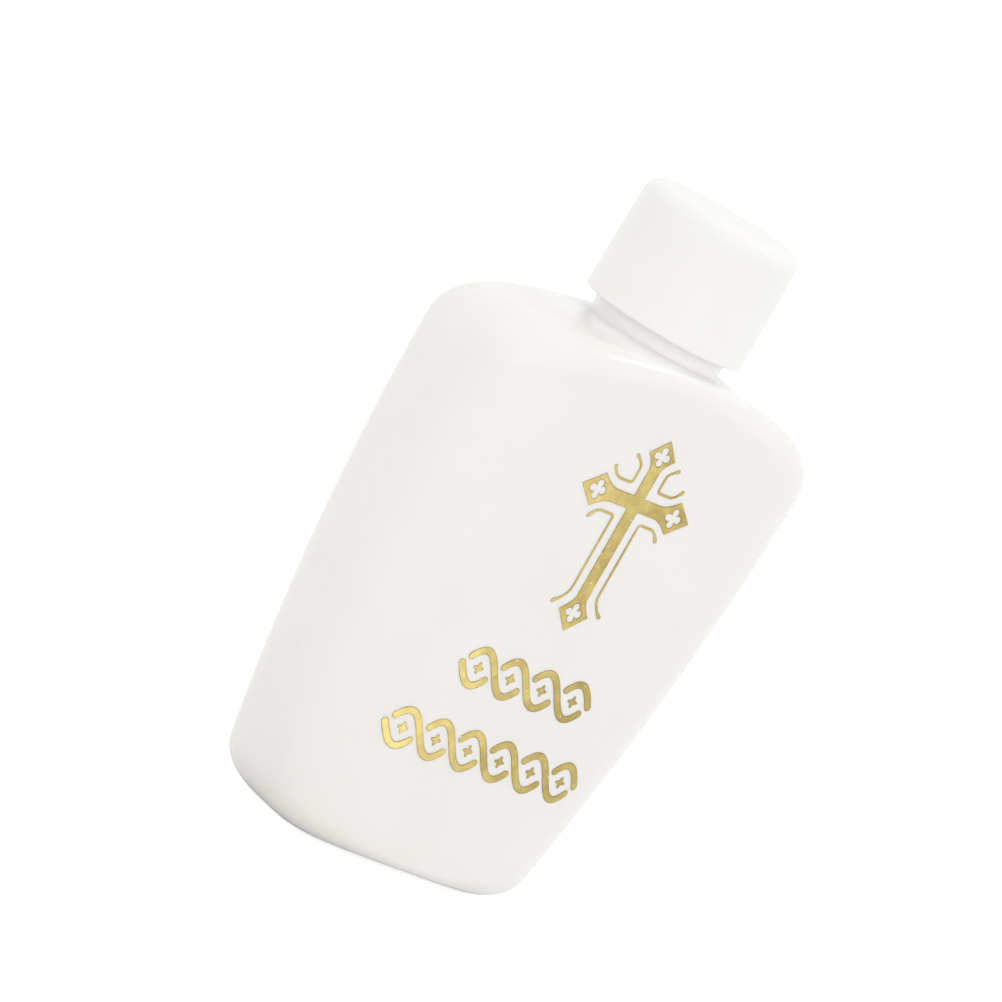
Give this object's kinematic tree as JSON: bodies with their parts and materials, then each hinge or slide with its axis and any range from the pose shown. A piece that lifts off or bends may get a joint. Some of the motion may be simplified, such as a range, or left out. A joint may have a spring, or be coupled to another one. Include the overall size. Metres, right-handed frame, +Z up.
{
  "type": "holy water bottle",
  "caption": "Small flat milky flask that tapers to its base, with a press-in pour plug, a lined screw cap that unscrews, and a gold stamped cross on its front.",
  "frame": {"origin": "middle of the base, on the surface it stands on, under the axis of the neck", "axes": "+Z up along the neck, X along the width, Y along the depth, the stamped front faces -Y"},
  "size_m": [0.055, 0.0221, 0.085],
  "materials": {
    "milky_polythene": "blown natural polythene, milky and slightly glossy",
    "plug_polythene": "moulded natural polythene",
    "liner_foam": "white foamed polythene wad",
    "cap_plastic": "smooth white moulded plastic",
    "gold_foil": "hot stamped gold foil, slightly worn"
  },
  "bodies": {
    "bottle": {"bottle_body": "milky_polythene", "pour_plug": "plug_polythene", "foil_cross": "gold_foil", "foil_outline": "gold_foil", "foil_upper_twist": "gold_foil", "foil_lower_twist": "gold_foil"},
    "liner": {"cap_liner": "liner_foam"},
    "cap": {"screw_cap": "cap_plastic"}
  },
  "joints": [
    {"name": "cap_lift", "type": "slide", "parent": "bottle", "child": "liner", "axis": [0, 0, 1], "range_m": [0, 0.01905]},
    {"name": "cap_turn", "type": "hinge", "parent": "liner", "child": "cap", "pos_m": [0, 0, 0.0775], "axis": [0, 0, 1], "range_deg": [0, 2160]}
  ],
  "couplings": [
    {"joint": "cap_lift", "follows": "cap_turn", "m_per_rad": 0.00050532}
  ]
}
